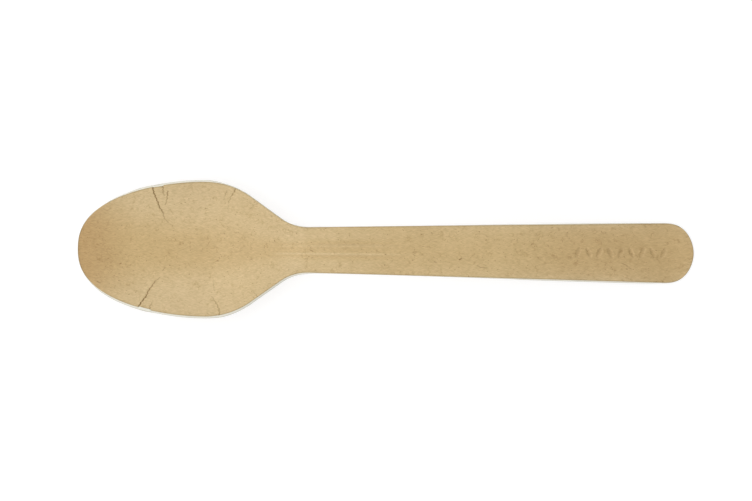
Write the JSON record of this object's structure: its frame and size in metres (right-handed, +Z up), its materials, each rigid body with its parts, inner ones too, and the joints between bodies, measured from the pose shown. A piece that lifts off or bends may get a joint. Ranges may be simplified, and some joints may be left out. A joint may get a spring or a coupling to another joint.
{
  "type": "paper spoon",
  "caption": "Disposable spoon pressed from kraft paper board, with an egg-shaped bowl gathered at its rim, a beaded neck and a shallow dished handle.",
  "frame": {"origin": "on the table, under the middle of the spoon's bounding box, with the bowl facing up", "axes": "+X from the tip of the bowl to the end of the handle, +Y across the bowl, +Z up out of the bowl"},
  "size_m": [0.1602, 0.0358, 0.0074],
  "materials": {
    "kraft_board": "matte kraft face"
  },
  "bodies": {
    "root": {"spoon": "kraft_board"}
  },
  "joints": []
}
